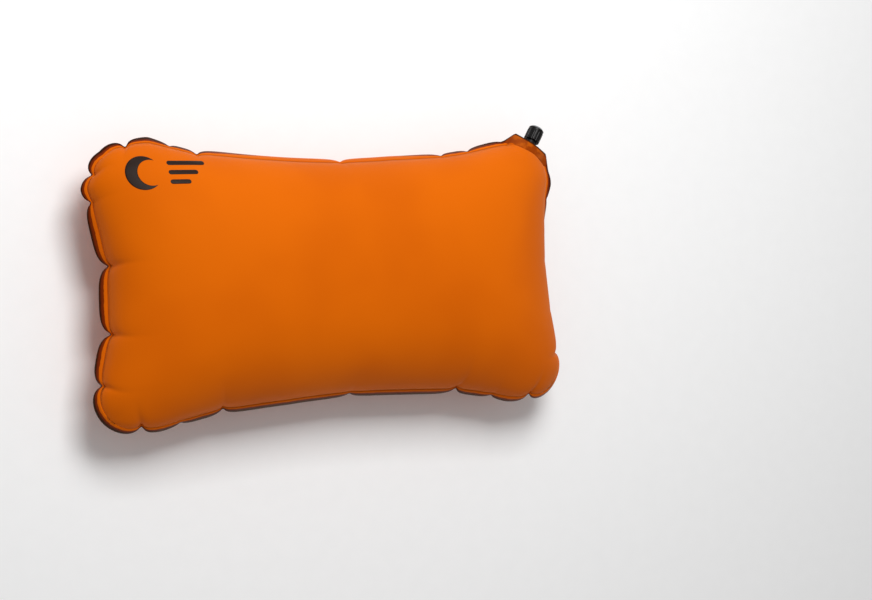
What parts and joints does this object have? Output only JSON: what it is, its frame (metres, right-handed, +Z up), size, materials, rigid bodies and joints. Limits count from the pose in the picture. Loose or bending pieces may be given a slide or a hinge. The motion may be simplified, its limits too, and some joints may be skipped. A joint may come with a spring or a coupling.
{
  "type": "camp pillow",
  "caption": "Self-inflating rectangular camp pillow: two coated-fabric panels welded round a foam core, with a twist valve in one corner.",
  "frame": {"origin": "middle of the flat patch of the back panel that rests on the ground", "axes": "+X along the pillow's length, towards the valve's end; +Y across it, towards the valve's side; +Z up through its thickness, out of the front panel"},
  "size_m": [0.458, 0.2638, 0.1],
  "materials": {
    "panel_fabric": "matt brushed polyester, coated inside",
    "weld_film": "fused coating",
    "foam": "open-cell foam",
    "valve_plastic": "moulded, fine spark texture",
    "cap_plastic": "moulded, satin",
    "seal_rubber": "smooth"
  },
  "bodies": {
    "pillow": {"front_shell": "panel_fabric", "back_shell": "panel_fabric", "perimeter_weld": "weld_film", "foam_core": "foam", "valve_base": "valve_plastic", "valve_stem": "valve_plastic", "sealing_pin": "valve_plastic", "pin_seal": "seal_rubber", "retaining_ring": "valve_plastic"},
    "sliding_ring": {"cap_ring": "seal_rubber"},
    "cap": {"valve_cap": "cap_plastic"}
  },
  "joints": [
    {"name": "cap_lift", "type": "slide", "parent": "pillow", "child": "sliding_ring", "axis": [0.5299, 0.848, 0], "range_m": [0, 0.0024]},
    {"name": "cap_twist", "type": "hinge", "parent": "sliding_ring", "child": "cap", "pos_m": [0.20914, 0.11923, 0.05], "axis": [0.5299, 0.848, 0], "range_deg": [0, 360]}
  ],
  "couplings": [
    {"joint": "cap_twist", "follows": "cap_lift", "rad_per_m": 2618}
  ]
}
